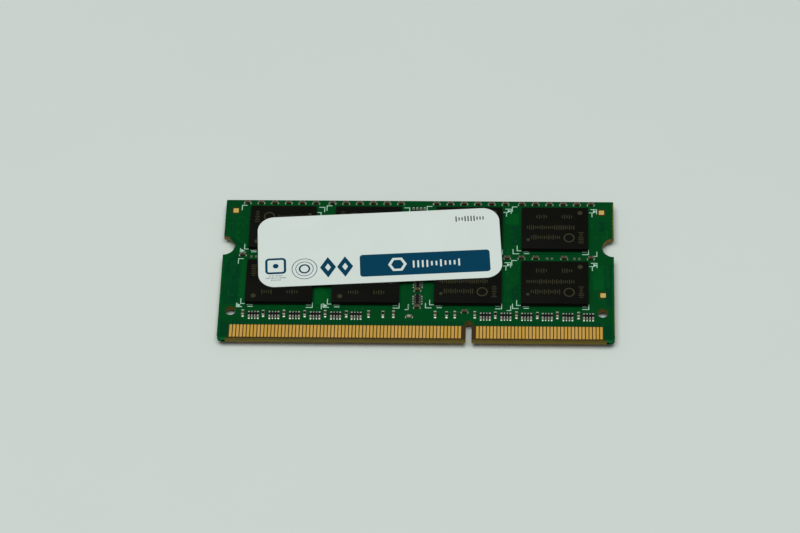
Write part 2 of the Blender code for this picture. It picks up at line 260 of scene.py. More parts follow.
def raised(size, radius, profile, finish, centre=(0.0, 0.0, 0.0), steps=1):
    """A rectangle with round corners carried up a profile of (inset, height) rows.

    Each corner is a quarter circle about its own centre, and the inset comes off its radius. Past
    the radius, the corner's centre moves in by the rest of the inset."""
    inset, height = np.array(profile, float).T
    quarter = np.linspace(0.0, math.pi / 2, steps + 1)
    angle = (np.arange(4)[:, None] * math.pi / 2 + quarter).ravel()
    reach = np.maximum(radius - inset, 0.002)[:, None]
    rest = radius + np.maximum(inset - radius + 0.002, 0.0)[:, None]
    x = np.repeat([1, -1, -1, 1], steps + 1) * (size[0] / 2 - rest) + reach * np.cos(angle)
    y = np.repeat([1, 1, -1, -1], steps + 1) * (size[1] / 2 - rest) + reach * np.sin(angle)
    z = np.broadcast_to(height[:, None], x.shape)
    return skin(np.stack([x, y, z], axis=-1) + np.array(centre), finish)


def block(size, finish, centre=(0.0, 0.0, 0.0), radius=0.04, edge=0.03, steps=1):
    """A block standing on its centre: straight sides, round upright corners, a small top bevel."""
    profile = [(0.0, 0.0), (0.0, size[2] - edge), (edge, size[2])]
    return raised(size, radius, profile, finish, centre, steps)


def turned(profile, finish, centre=(0.0, 0.0, 0.0), sides=24):
    """A round part: each (radius, height) row of the profile makes one circle about Z."""
    radius, height = np.array(profile, float).T[..., None]
    angle = np.arange(sides) * 2 * math.pi / sides
    x, y = radius * np.cos(angle), radius * np.sin(angle)
    rings = np.stack([x, y, np.broadcast_to(height, x.shape)], axis=-1)
    return skin(rings + np.array(centre), finish)


def circle(centre, radius, start=0.0, end=360.0, steps=32):
    """Points on a circle from one angle to another, in degrees, both ends included."""
    angle = np.radians(np.linspace(start, end, steps + 1))
    return np.array(centre) + radius * np.stack([np.cos(angle), np.sin(angle)], axis=-1)


def round_outline(size, radius, centre=(0.0, 0.0), steps=8):
    """Outline of a rectangle with round corners, as raised() makes it."""
    points = raised((*size, 0.0), radius, [(0.0, 0.0), (0.0, 1.0)], "", steps=steps)[0]
    return points[:len(points) // 2, :2] + np.array(centre)


def ribbon(path, width, height, finish, low=0.0, closed=False):
    """A flat strip carried along a path in the plane.

    At each point the cross-section stands square to the average of the runs before and after it,
    and is widened by one over the cosine of half the turn, so the strip keeps its width."""
    path = np.asarray(path, float)
    if closed:
        before, after = path - np.roll(path, 1, axis=0), np.roll(path, -1, axis=0) - path
    else:
        run = np.diff(path, axis=0)
        before, after = np.concatenate([run[:1], run]), np.concatenate([run, run[-1:]])
    before = before / np.linalg.norm(before, axis=1, keepdims=True)
    after = after / np.linalg.norm(after, axis=1, keepdims=True)
    left = np.stack([-before[:, 1], before[:, 0]], axis=-1)
    middle = left + np.stack([-after[:, 1], after[:, 0]], axis=-1)
    middle = middle / np.linalg.norm(middle, axis=1, keepdims=True)
    reach = middle * (width / 2 / np.sum(middle * left, axis=1, keepdims=True))
    across = np.array([1.0, 0.9, -0.9, -1.0])
    flat = path[:, None] + reach[:, None] * across[:, None]
    rise = np.broadcast_to(low + height * np.array([0.0, 1.0, 1.0, 0.0]), flat.shape[:2])
    return skin(np.concatenate([flat, rise[..., None]], axis=-1), finish, closed)


def plate(outline, holes, levels, finish):
    """A flat plate with holes, its loops carried through levels of (height, least y).

    Both flat ends are cut into triangles between the outline and the holes. A least y pushes the
    loops' points back to it, which cuts a slanted face along the front."""
    loops = [np.asarray(outline, float)] + [np.asarray(hole, float)[::-1] for hole in holes]
    flat = np.concatenate(loops)
    starts = np.cumsum([0] + [len(loop) for loop in loops])
    ahead = np.concatenate([np.roll(np.arange(a, b), -1) for a, b in zip(starts, starts[1:])])
    drawn = [np.pad(loop, ((0, 0), (0, 1))).tolist() for loop in loops]
    end = np.array(tessellate_polygon(drawn))
    first, second, third = flat[end[:, 0]], flat[end[:, 1]], flat[end[:, 2]]
    one, two = second - first, third - first
    wrong = one[:, 0] * two[:, 1] - one[:, 1] * two[:, 0] < 0
    end[wrong] = end[wrong][:, ::-1]
    height, least = np.array(levels, float).T[..., None]
    x = np.broadcast_to(flat[:, 0], (len(levels), len(flat)))
    y = np.maximum(flat[:, 1], least)
    z = np.broadcast_to(height, x.shape)
    points = np.stack([x, y, z], axis=-1).reshape(-1, 3)
    level = np.arange(len(levels) - 1)[:, None] * len(flat)
    here, ahead = np.arange(len(flat)) + level, ahead + level
    sides = np.stack([here, ahead, ahead + len(flat), here + len(flat)], axis=-1).reshape(-1, 4)
    return points, [sides, end[:, ::-1], end + (len(levels) - 1) * len(flat)], finish


def sheet(outline, height, finish, low=0.0, holes=()):
    """A thin flat plate with upright sides."""
    bottom = float(np.min(np.asarray(outline, float)[:, 1]))
    return plate(outline, holes, [(low, bottom), (low + height, bottom)], finish)


def copies(parts, spots):
    """The parts once for each spot, a row of (x, y, z, turn): turned about Z, then moved."""
    x0, y0, z0, turn = np.asarray(spots, float).reshape(-1, 4).T[..., None]
    cosine, sine = np.cos(np.radians(turn)), np.sin(np.radians(turn))
    made = []
    for points, faces, finish in parts:
        x = points[:, 0] * cosine - points[:, 1] * sine + x0
        y = points[:, 0] * sine + points[:, 1] * cosine + y0
        many = np.stack([x, y, points[:, 2] + z0], axis=-1).reshape(-1, 3)
        jump = np.arange(len(x0))[:, None, None] * len(points)
        made.append((many, [(face + jump).reshape(-1, face.shape[1]) for face in faces], finish))
    return made


def under(parts):
    """The parts turned half round about the board's own long-way-across axis, to its other face."""
    middle = node_box("board")[2][2]
    half_turn = np.array([-1.0, 1.0, -1.0])
    return [(p * half_turn + (0.0, 0.0, 2 * middle), faces, finish) for p, faces, finish in parts]


def show(name, parts, nodes=(), crease=35.0):
    """Make one piece of the parts, riding on the module, and hide the CAD nodes it stands for."""
    finishes = list(dict.fromkeys(part[2] for part in parts))
    starts = np.cumsum([0] + [len(part[0]) for part in parts])
    faces = [(face + start, finishes.index(part[2]))
             for part, start in zip(parts, starts) for face in part[1]]
    corners = np.concatenate([face.ravel() for face, _ in faces])
    counts = np.concatenate([np.full(len(face), face.shape[1]) for face, _ in faces])
    finish_index = np.concatenate([np.full(len(face), index) for face, index in faces])
    mesh = bpy.data.meshes.new(name)
    mesh.vertices.add(int(starts[-1]))
    mesh.vertices.foreach_set("co", (np.concatenate([part[0] for part in parts]) * MM).ravel())
    mesh.loops.add(len(corners))
    mesh.loops.foreach_set("vertex_index", corners.astype(np.int32))
    mesh.polygons.add(len(counts))
    mesh.polygons.foreach_set("loop_start", (np.cumsum(counts) - counts).astype(np.int32))
    for finish in finishes:
        mesh.materials.append(bpy.data.materials[finish])
    mesh.polygons.foreach_set("material_index", finish_index.astype(np.int32))
    mesh.update(calc_edges=True)
    if mesh.validate():
        raise RuntimeError(f"{name} has faces that Blender had to repair")
    mesh.shade_smooth()
    mesh.set_sharp_from_angle(angle=math.radians(crease))
    piece = bpy.data.objects.new(name, mesh)
    bpy.context.collection.objects.link(piece)
    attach(piece, "root")
    if nodes:
        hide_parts(*nodes)
    return piece


# Finishes

def add_node(tree, kind, **given):
    """Add one node. A name with a capital is an input, with spaces for its underscores: it takes a
    value, a socket, or a node for that node's first live output. Other names are settings."""
    made = tree.nodes.new("ShaderNode" + kind)
    for name in sorted(given, key=lambda name: name[0].isupper()):
        value = given[name]
        if not name[0].isupper():
            setattr(made, name, value)
            continue
        socket = made.inputs[name.replace("_", " ")]
        if isinstance(value, bpy.types.Node):
            value = next(out for out in value.outputs if out.enabled)
        if isinstance(value, bpy.types.NodeSocket):
            tree.links.new(value, socket)
        else:
            socket.default_value = value
    return made


def start_finish(name):
    """An empty material: its tree, and a place in millimetres for its patterns."""
    made = bpy.data.materials.new(name)
    made.use_nodes = True
    tree = made.node_tree
    tree.nodes.clear()
    place = add_node(tree, "TexCoord").outputs["Object"]
    return tree, add_node(tree, "Mapping", Vector=place, Scale=(1 / MM, 1 / MM, 1 / MM))


def end_finish(tree, height, strength, depth, **inputs):
    """Close a material with a bump, its depth in millimetres, its shader and its output."""
    bump = add_node(tree, "Bump", Height=height, Strength=strength, Distance=depth * MM)
    shader = add_node(tree, "BsdfPrincipled", Normal=bump, **inputs)
    add_node(tree, "OutputMaterial", Surface=shader)


def shade(colour, factor):
    """A colour made darker or lighter, with full alpha."""
    return (*(min(1.0, channel * factor) for channel in colour), 1.0)


def solder_mask(name, colour):
    """Photo-imaged solder mask, flooded on and oven-cured: a deep green gloss skin over the glass
    cloth, whose weave shows as a faint grid, with slow drifts in tone where it pooled."""
    tree, place = start_finish(name)
    drift = add_node(tree, "TexNoise", Vector=place, Scale=0.22, Detail=3.0)
    tones = add_node(tree, "Mix", data_type="RGBA", Factor=drift,
                     A=shade(colour, 0.8), B=shade(colour, 1.25))
    # Glass cloth has about 1.7 threads a millimetre; here 1.4, coarse enough to show.
    weave = add_node(tree, "TexMagic", turbulence_depth=1, Vector=place, Scale=1.4, Distortion=0.6)
    grain = add_node(tree, "TexNoise", Vector=place, Scale=3.0, Detail=2.0)
    height = add_node(tree, "Mix", Factor=0.35, A=weave.outputs["Fac"], B=grain)
    end_finish(tree, height, 0.35, 0.012, Base_Color=tones, Roughness=0.4, IOR=1.55,
               Specular_IOR_Level=0.04, Coat_Weight=0.03, Coat_Roughness=0.12)


def epoxy_laminate(name, colour, glass_colour, resin_colour):
    """Glass-epoxy laminate, pressed in layers and routed: stacked tan and olive bands on its cut
    edges, with pale broken glass ends, and a plain brown face where nothing covers it."""
    tree, place = start_finish(name)
    stretch = add_node(tree, "Mapping", Vector=place, Scale=(0.6, 0.6, 9.0))
    layers = add_node(tree, "TexNoise", Vector=stretch, Scale=1.0, Detail=2.0)
    bands = add_node(tree, "ValToRGB", Fac=layers)
    for band, position, factor in zip(bands.color_ramp.elements, (0.35, 0.65), (0.78, 1.15)):
        band.position = position
        band.color = shade(colour, factor)
    # Glass bundles are about 0.3 mm wide where the router cuts them.
    glass = add_node(tree, "TexVoronoi", Vector=place, Scale=3.3)
    specks = add_node(tree, "MapRange", Value=glass, From_Max=0.35, To_Min=0.3, To_Max=0.0)
    cut = add_node(tree, "Mix", data_type="RGBA", Factor=specks, A=bands,
                   B=shade(glass_colour, 1.0))
    facing = add_node(tree, "NewGeometry").outputs["True Normal"]
    upright = add_node(tree, "SeparateXYZ", Vector=facing).outputs["Z"]
    level = add_node(tree, "Math", operation="ABSOLUTE", Value=upright)
    # Painted shade: the slanted chamfer is darkened against the upright routed sides, so that the
    # upright faces, which the overhead lamp lights less, read as bright as it.
    slant_shade_factor = add_node(tree, "MapRange", Value=level, From_Min=0.3, From_Max=0.65)
    shaded_slants = add_node(tree, "Mix", data_type="RGBA", blend_type="MULTIPLY", Factor=slant_shade_factor, A=cut,
                      B=(0.52, 0.52, 0.52, 1.0))
    # Flat faces keep their smooth dark resin; only cut faces show layers and glass.
    flat = add_node(tree, "Math", operation="GREATER_THAN", Value=level)
    flat.inputs[1].default_value = 0.95
    faces = add_node(tree, "Mix", data_type="RGBA", Factor=flat, A=shaded_slants,
                     B=shade(resin_colour, 1.0))
    end_finish(tree, glass, 0.5, 0.02, Base_Color=faces, Roughness=0.62, IOR=1.5,
               Specular_IOR_Level=0.25)


def plated_gold(name, colour, blush):
    """Gold plated over nickel, hard on the contacts and thin and pale on the fiducial squares: a
    warm satin metal with fine wipe marks, and a colour that drifts from one contact to the next."""
    tree, place = start_finish(name)
    # Wipe marks are a few hundredths of a millimetre wide; drawn 0.15 mm wide so that they show.
    along = add_node(tree, "Mapping", Vector=place, Scale=(6.5, 0.5, 1.0))
    wipes = add_node(tree, "TexNoise", Vector=along, Scale=1.0, Detail=3.0)
    # The bath gives neighbours a slightly pinker or yellower gold: one noise step per contact.
    each = add_node(tree, "Mapping", Vector=place, Scale=(1.1, 0.02, 1.0))
    tints = add_node(tree, "TexNoise", Vector=each, Scale=1.0, Detail=1.0)
    spread = add_node(tree, "MapRange", Value=tints, From_Min=0.35, From_Max=0.65)
    plating = add_node(tree, "Mix", data_type="RGBA", Factor=spread,
                       A=shade(colour, 1.0), B=shade(blush, 1.0))
    dulled = add_node(tree, "Mix", data_type="RGBA", Factor=0.22, A=plating, B=shade(colour, 0.3))
    tones = add_node(tree, "Mix", data_type="RGBA", Factor=wipes, A=dulled, B=plating)
    sheen = add_node(tree, "MapRange", Value=wipes, To_Min=0.55, To_Max=0.75)
    end_finish(tree, wipes, 0.3, 0.01, Base_Color=tones, Metallic=1.0, Roughness=sheen)


def moulded_epoxy(name, colour):
    """Silica-filled epoxy, transfer-moulded: a dead-flat near-black with the fine pitted grain of
    the spark-eroded mould, and slow grey drifts from handling."""
    tree, place = start_finish(name)
    # The mould's grain is about 0.03 mm; drawn at 0.08 mm so that it shows.
    grain = add_node(tree, "TexNoise", Vector=place, Scale=12.0, Detail=2.0)
    drift = add_node(tree, "TexNoise", Vector=place, Scale=0.3, Detail=2.0)
    tones = add_node(tree, "Mix", data_type="RGBA", Factor=drift,
                     A=shade(colour, 0.75), B=shade(colour, 1.3))
    sheen = add_node(tree, "MapRange", Value=grain, To_Min=0.5, To_Max=0.75)
    end_finish(tree, grain, 0.5, 0.01, Base_Color=tones, Roughness=sheen, IOR=1.5,
               Specular_IOR_Level=0.05)


def matt_speckle(name, colour, spread, grain_per_mm, roughness, gloss=0.2):
    """A dry, even surface: its grain lightens and darkens it by the spread, and lifts it a little.
    It serves torn, burnt, sawn, fired, printed and pulped surfaces, each named where it is made."""
    tree, place = start_finish(name)
    grain = add_node(tree, "TexNoise", Vector=place, Scale=grain_per_mm, Detail=3.0, Roughness=0.6)
    tones = add_node(tree, "Mix", data_type="RGBA", Factor=grain,
                     A=shade(colour, 1.0 - spread), B=shade(colour, 1.0 + spread))
    end_finish(tree, grain, 0.25, 0.01, Base_Color=tones, Roughness=roughness,
               Specular_IOR_Level=gloss)


def bright_tin(name, colour, roughness):
    """Tin, reflowed as solder or plated on end caps: a bright wet-looking metal, frosted in
    patches where it froze last."""
    tree, place = start_finish(name)
    # Tin freezes in grains of about 0.1 mm.
    frost = add_node(tree, "TexNoise", Vector=place, Scale=7.0, Detail=2.0)
    tones = add_node(tree, "Mix", data_type="RGBA", Factor=frost,
                     A=shade(colour, 0.7), B=shade(colour, 1.0))
    sheen = add_node(tree, "MapRange", Value=frost, To_Min=roughness - 0.16,
                     To_Max=roughness + 0.16)
    end_finish(tree, frost, 0.4, 0.02, Base_Color=tones, Metallic=1.0, Roughness=sheen)


def sintered_ceramic(name, colour):
    """Barium titanate, sintered in thin layers: a warm brown with darker pores and a dull polish
    from tumbling."""
    tree, place = start_finish(name)
    pores = add_node(tree, "TexVoronoi", Vector=place, Scale=9.0)
    # Parts from different firings differ: the tone changes over about 3 mm, the parts' spacing.
    patches = add_node(tree, "TexNoise", Vector=place, Scale=0.4, Detail=3.0)
    tones = add_node(tree, "Mix", data_type="RGBA", Factor=patches,
                     A=shade(colour, 0.3), B=shade(colour, 1.9))
    pitted = add_node(tree, "Mix", data_type="RGBA", Factor=pores, A=tones, B=shade(colour, 0.6))
    end_finish(tree, pores, 0.3, 0.01, Base_Color=pitted, Roughness=0.5, Specular_IOR_Level=0.3)


def label_film(name, colour):
    """Matt white polyester film, calendered: an even cool white with a very faint cloud and a soft
    satin sheen."""
    tree, place = start_finish(name)
    cloud = add_node(tree, "TexNoise", Vector=place, Scale=0.15, Detail=2.0)
    tones = add_node(tree, "Mix", data_type="RGBA", Factor=cloud,
                     A=shade(colour, 0.96), B=shade(colour, 1.03))
    # The film's tooth is finer than this; 4 ripples a millimetre give it a soft sheen.
    tooth = add_node(tree, "TexNoise", Vector=place, Scale=4.0, Detail=2.0)
    end_finish(tree, tooth, 0.15, 0.01, Base_Color=tones, Roughness=0.5, Specular_IOR_Level=0.25)


class MODULE_OT_finishes(bpy.types.Operator):
    """Make every finish that the pieces use"""
    bl_idname = "memory_module.finishes"
    bl_label = "Finishes"

    def execute(self, context):
        group = context.scene.memory_module.finishes
        tint = SimpleNamespace(**{
            key: tuple(getattr(group, key)) for key in FinishSettings.__annotations__
        })
        solder_mask("solder_mask", tint.mask)
        solder_mask("masked_copper", tint.mask_copper)
        solder_mask("masked_laminate", tint.mask_bare)
        # Painted highlight: the corner mask is a lighter green than the rest of the mask.
        solder_mask("mask_rim", tint.mask_rim)
        epoxy_laminate("epoxy_laminate", tint.laminate, tint.glass, tint.resin)
        plated_gold("hard_gold", tint.gold, tint.blush)
        plated_gold("immersion_gold", tint.pale_gold, tint.pale_gold)
        moulded_epoxy("moulded_epoxy", tint.mould)
        bright_tin("reflowed_solder", tint.solder, 0.46)
        # Plating is far thinner than solder, and its nickel shows through as a darker grey.
        bright_tin("plated_tin", shade(tint.solder, 0.42)[:3], 0.4)
        sintered_ceramic("sintered_ceramic", tint.ceramic)
        label_film("label_film", tint.film)
        # Torn resin and glass: coarse tufts, pale and dark.
        matt_speckle("frayed_resin", tint.frayed, 0.7, 2.6, 0.7, 0.1)
        # Epoxy burnt by a laser: a dusty grey-brown.
        matt_speckle("laser_mark", tint.laser, 0.35, 9.0, 0.7, 0.1)
        # Glass-epoxy cut by a saw: dark green, with a fine grain of glass ends.
        matt_speckle("sawn_substrate", tint.substrate, 0.3, 6.0, 0.6, 0.1)
        # Sintered alumina: chalky off-white.
        matt_speckle("alumina", tint.alumina, 0.15, 8.0, 0.5)
        # Fired glass glaze: black, the shiniest of these.
        matt_speckle("resistor_glaze", tint.glaze, 0.4, 5.0, 0.3)
        # Screen-printed and cured ink: pale, with the mesh's grain.
        matt_speckle("silkscreen_ink", tint.silk, 0.12, 5.0, 0.6)
        # Thermal-transfer inks on the label: thin, even and matt.
        matt_speckle("blue_ink", tint.blue_ink, 0.08, 3.0, 0.45, 0.08)
        matt_speckle("dark_ink", tint.dark_ink, 0.2, 5.0, 0.5)
        # Pulped card: pale, with slow clouds some 30 mm wide.
        matt_speckle("floor_card", tint.floor, 0.012, 0.03, 0.9, 0.0)
        return {"FINISHED"}


# Board

FIDUCIALS = ((-32.05, 12.65), (31.7, 12.65), (31.85, -5.25))
HOLE_STEPS = 32


def upper_face():
    """Height of the laminate's upper skin, which the parts of that face stand on."""
    settings = in_mm(bpy.context.scene.memory_module.board)
    return node_box("board")[1][2] - settings.contact_height


def board_outline(size, pull=0.0, window=0.0):
    """The board's outline, anticlockwise from its left front corner, pulled in by one margin.

    The outline is straight runs, quarter circles at the four corners, half circles at the latch
    notches and a half circle at the head of the key notch. With a window, the front stays clear of
    the contacts and the key notch by that much."""
    low, high, _ = node_box("board")
    side, front, back = high[0] - pull, low[1], high[1] - pull
    bend = size.corner_radius - pull
    corner = high[0] - size.corner_radius
    key_round = size.key_width / 2
    key_top = front + size.key_depth - key_round
    latch = front + size.latch_from_edge
    reach = size.latch_radius + (size.mask_margin if pull else 0.0)
    tilt = math.degrees(math.asin(pull / reach))
    far = size.far_radius
    runs = [circle((-corner, front + size.corner_radius), bend, 180, 270, 12)]
    if window:
        shelf = front + size.contact_from_edge + size.contact_length + window / 2
        outer = high[0] - size.contact_from_side + size.contact_width / 2 + window / 2
        around = key_round + window
        start = math.degrees(math.asin((key_top - shelf) / around))
        runs += [[(-outer, front + pull), (-outer, shelf)],
                 circle((size.key_x, key_top), around, 180 + start, -start, 20),
                 [(outer, shelf), (outer, front + pull)]]
    else:
        runs += [[(size.key_x - key_round, front)],
                 circle((size.key_x, key_top), key_round, 180, 0, 20),
                 [(size.key_x + key_round, front)]]
    runs += [circle((corner, front + size.corner_radius), bend, -90, 0, 12),
             circle((high[0], latch), reach, -90 - tilt, -270 + tilt, 40),
             circle((side - far, back - far), far, 0, 90, 4),
             circle((far - side, back - far), far, 90, 180, 4),
             circle((-high[0], latch), reach, 90 - tilt, -90 + tilt, 40)]
    return np.concatenate([np.asarray(run, float) for run in runs])


def hole_loops(size, margin=0.0):
    """Outlines of the two drilled holes, made wider all round by a margin."""
    low, high, _ = node_box("board")
    x, y = high[0] - size.hole_from_side, low[1] + size.hole_from_edge
    radius = size.hole_diameter / 2 + margin
    return [circle((way * x, y), radius, steps=HOLE_STEPS)[:-1] for way in (-1, 1)]


def contact_centres(size):
    """X of every contact on one face: both rows run from the key notch towards the sides."""
    side = node_box("board")[1][0] - size.contact_from_side
    rows = []
    for way in (-1, 1):
        first = size.key_x + way * size.contact_from_key
        count = int((side - way * first) / size.contact_pitch + 0.01) + 1
        rows.append(first + way * size.contact_pitch * np.arange(count))
    return np.sort(np.concatenate(rows))


def corner_skins(size, top):
    """Mask that runs on past the contacts: over the chamfer and down the front of each corner, in a
    lighter green that is a painted highlight on the round corners.
    """
    low, high, _ = node_box("board")
    proud, run_in, run_up, run_down = 0.008, 1.4, 0.15, 3 * size.chamfer
    front, reach = low[1], size.corner_radius
    start, end = high[0] - run_in, front + reach + run_up
    bend = circle((high[0] - reach, front + reach), reach + proud, -90, 0, 12)
    corner = np.concatenate([[(start, front - proud)], bend, [(high[0] + proud, end), (start, end)]])
    down = [(-run_down, front - proud), (-size.chamfer, front - proud),
            (size.mask - proud, front + size.chamfer - proud)]
    skins = [plate(corner, [], down, "mask_rim"),
             plate(corner[::-1] * (-1.0, 1.0), [], down, "mask_rim")]
    return copies(skins, [(0.0, 0.0, top, 0.0)])


def frayed_strips(size, top, chance):
    """Ragged strips of resin along the mask's right edge, clear of the latch notch: points every
    0.22 mm along the edge, each let in by half the strip's width and a chance share of it."""
    low, high, _ = node_box("board")
    latch = low[1] + size.latch_from_edge
    clear = size.latch_radius + 0.1
    strips = []
    for near, far, wide in ((low[1] + 1.2, latch - clear, 0.07), (latch + clear, high[1] - 0.3, 0.17)):
        y = np.arange(near, far, 0.22)
        inner = high[0] - 0.02 - wide * (0.5 + chance.random(len(y)))
        outer = np.full(len(y), high[0] - 0.01)
        loop = np.concatenate([np.stack([outer, y], axis=-1), np.stack([inner, y], axis=-1)[::-1]])
        strips.append(sheet(loop, size.mask + 0.006, "frayed_resin", top))
    return strips


class MODULE_OT_board(bpy.types.Operator):
    """Make the laminate, its mask and its contacts"""
    bl_idname = "memory_module.board"
    bl_label = "Board"

    def execute(self, context):
        size = in_mm(context.scene.memory_module.board)
        low, high, _ = node_box("board")
        top = high[2] - size.contact_height - size.mask
        bottom = low[2] + size.contact_height + size.mask
        front = low[1]
        nose = front + size.chamfer
        levels = [(bottom, nose), (bottom + size.chamfer, front), (top - size.chamfer, front),
                  (top, nose)]
        laminate = plate(board_outline(size), hole_loops(size), levels, "epoxy_laminate")
        show("laminate", [laminate], ["board"])

        outline = board_outline(size, size.mask_inset, size.mask_window)
        openings = hole_loops(size, size.mask_margin)
        windows = [round_outline((size.fiducial_window, size.fiducial_window), 0.2, spot, 3)
                   for spot in FIDUCIALS]
        levels = [(0.0, nose + 0.04), (size.mask, nose + 0.04)]
        for face, loops, height in (("top", openings + windows, top),
                                    ("bottom", openings, bottom - size.mask)):
            mask = plate(outline, loops, levels, "solder_mask")
            show(f"solder_mask_{face}", copies([mask], [(0.0, 0.0, height, 0.0)]))
        skins = corner_skins(size, top)
        show("corner_mask_top", skins)
        show("corner_mask_bottom", under(skins))
        chance = np.random.default_rng(context.scene.memory_module.stage.seed + 2)
        show("frayed_rim", frayed_strips(size, top, chance))

        land = (size.contact_width, size.contact_length, size.contact_height + size.mask)
        contact = [block(land, "hard_gold", radius=0.03, edge=0.02)]
        x, y = contact_centres(size), front + size.contact_from_edge + size.contact_length / 2
        # The key notch isn't in the board's middle, so the underside keeps the contacts' X.
        upper, lower = ([(place, y, top, 0.0) for place in way * x] for way in (1, -1))
        show("contacts_top", copies(contact, upper))
        show("contacts_bottom", under(copies(contact, lower)))
        target = [block((size.fiducial, size.fiducial, 0.035), "immersion_gold", radius=0.12,
                        edge=0.015, steps=3)]
        show("fiducials", copies(target, [(*spot, top, 0.0) for spot in FIDUCIALS]))
        return {"FINISHED"}


# Light copper areas and dark bare ones under the mask, in millimetres from the board's middle
PLANES = (
    ((-30.4, -6.9), (-29.5, -6.9), (-29.5, 1.7), (-30.1, 1.7), (-30.4, 1.3)),
    ((-33.7, -12.6), (-33.5, -12.6), (-33.5, 2.6), (-33.7, 2.6)),
    ((-17.5, -7.6), (-15.1, -7.6), (-15.1, -5.4), (-16.4, -3.9), (-17.5, -3.9)),
    ((30.2, -4.1), (32.0, -4.1), (32.0, 0.4), (31.0, 1.5), (30.2, 1.5)),
    ((15.0, 9.9), (17.4, 9.9), (17.4, 12.4), (15.0, 12.4)),
    ((33.45, -12.6), (33.7, -12.6), (33.7, 2.6), (33.45, 2.6)),
)
LOWER_PLANES = PLANES[2:5]
BARE_AREAS = (
    ((-33.2, -7.6), (-30.8, -7.6), (-30.8, 1.8), (-31.6, 3.2), (-32.1, 2.6), (-33.2, 1.6)),
    ((-32.7, 6.4), (-31.9, 5.4), (-30.4, 4.7), (-30.4, 5.5), (-31.9, 6.9), (-31.9, 10.6),
     (-32.7, 10.6)),
    ((31.2, 8.4), (32.2, 8.4), (32.2, 10.7), (31.2, 10.7)),
    ((32.3, -7.2), (33.3, -8.0), (33.3, 1.4), (32.3, 0.6)),
    ((16.3, -6.4), (17.5, -6.4), (17.5, -2.9), (16.3, -4.1)),
    ((16.0, 5.6), (17.5, 5.6), (17.5, 9.6), (16.4, 9.6), (16.0, 9.2)),
    ((-33.3, -14.4), (-32.0, -14.4), (-32.0, -11.7), (-33.3, -11.2)),
    ((32.0, -14.4), (33.3, -14.4), (33.3, -11.2), (32.0, -11.7)),
    ((-17.5, -3.4), (-16.2, -3.4), (-15.1, -4.7), (-15.1, 1.4), (-17.5, 1.4)),
    ((-31.5, -11.75), (8.0, -11.75), (8.0, -11.0), (-31.5, -11.0)),
    ((10.0, -11.75), (31.5, -11.75), (31.5, -11.0), (10.0, -11.0)),
    ((19.0, 3.2), (27.5, 3.2), (27.5, 3.7), (19.0, 3.7)),
)
# Where vias show, as (left, right, near, far)
VIA_FIELDS = (
    (-17.3, -15.1, -7.0, 13.6), (14.9, 17.4, -7.2, 13.6), (-33.0, -30.0, -7.6, 2.0),
    (-32.6, -29.8, 6.6, 11.4), (30.0, 33.0, -4.2, 2.0), (30.0, 33.0, 7.2, 11.6),
    (1.6, 2.7, -7.2, 3.0), (-28.0, 28.0, -8.9, -8.2),
)
VIA_GRID = 0.65
VIAS_PER_SQUARE_MM = 0.55
LANE = 0.42


def contact_traces(size):
    """Middle lines of the short traces that leave the contacts."""
    start = node_box("board")[0][1] + size.contact_from_edge + size.contact_length
    return [[(x, start), (x, start + 0.95)] for x in contact_centres(size)]


def gap_traces():
    """Middle lines of the other traces that show, in millimetres from the board's middle: bundles
    of three, with 45-degree jogs, up the gaps between the packages, and short single ones."""
    paths = []
    for lane in range(3):
        shift = lane * LANE
        bend = 0.18 * lane
        paths += [
            [(15.1 + shift, -6.6), (15.1 + shift, -3.2 - bend), (17.0 + bend, -1.3 - shift),
             (17.6, -1.3 - shift)],
            [(-33.0 + shift, -7.4), (-33.0 + shift, -1.4 - bend), (-32.2 + shift, -0.6 - bend),
             (-32.2 + shift, 1.6)],
            [(-32.4 + shift, 11.9), (-32.4 + shift, 7.2 - bend), (-30.6 + shift, 5.4 - bend)],
            [(32.5 + shift / 2, -3.6), (32.5 + shift / 2, 1.0)],
            [(1.4 + shift, -6.5), (1.4 + shift, 1.2 - bend), (2.0 + shift, 1.8 - bend)],
            [(-2.8 + shift, -6.4), (-2.8 + shift, 3.0)],
            [(-17.3 + shift, -7.2), (-17.3 + shift, -5.2 - bend), (-16.2, -4.1 - shift)],
        ]
    paths += [[(x, -11.0), (x, -10.7)] for x in UPRIGHT_RESISTORS + UPRIGHT_CAPACITORS]
    return paths + [[(18.2, y), (28.8, y)] for y in (3.2, 3.75)]


def via_spots(top, chance):
    """Chance places of the vias, rounded to a grid in each field."""
    spots = []
    for left, right, near, far in VIA_FIELDS:
        count = int((right - left) * (far - near) * VIAS_PER_SQUARE_MM) + 1
        x, y = (start + np.round(chance.random(count) * (end - start) / VIA_GRID) * VIA_GRID
                for start, end in ((left, right), (near, far)))
        spots.append(np.unique(np.stack([x, y], axis=-1), axis=0))
    spots = np.pad(np.concatenate(spots), ((0, 0), (0, 2)))
    spots[:, 2] = top
    return spots


class MODULE_OT_copper(bpy.types.Operator):
    """Make the masked copper: planes, traces and vias on both faces"""
    bl_idname = "memory_module.copper"
    bl_label = "Copper under the mask"

    def execute(self, context):
        size = in_mm(context.scene.memory_module.board)
        top = upper_face()

        def areas(outlines, height, finish):
            return [sheet(outline, height, finish, top) for outline in outlines]

        def traces(paths):
            return [ribbon(path, size.trace, size.relief * 1.6, "masked_copper", top)
                    for path in paths]

        ring = turned([(0.24, 0.0), (0.21, 0.016), (0.1, 0.016), (0.07, 0.004)], "masked_copper",
                      sides=10)
        chance = np.random.default_rng(context.scene.memory_module.stage.seed)
        vias = copies([ring], via_spots(top, chance))
        upper = areas(PLANES, size.relief, "masked_copper")
        upper += areas(BARE_AREAS, size.relief / 3, "masked_laminate")
        upper += traces(contact_traces(size) + gap_traces())
        show("copper_top", upper + vias)
        # The underside's traces follow its contacts, which keep their X.
        lower = traces([[(-x, y) for x, y in path] for path in contact_traces(size)])
        lower += areas(LOWER_PLANES, size.relief, "masked_copper")
        show("copper_bottom", under(lower + vias))
        return {"FINISHED"}


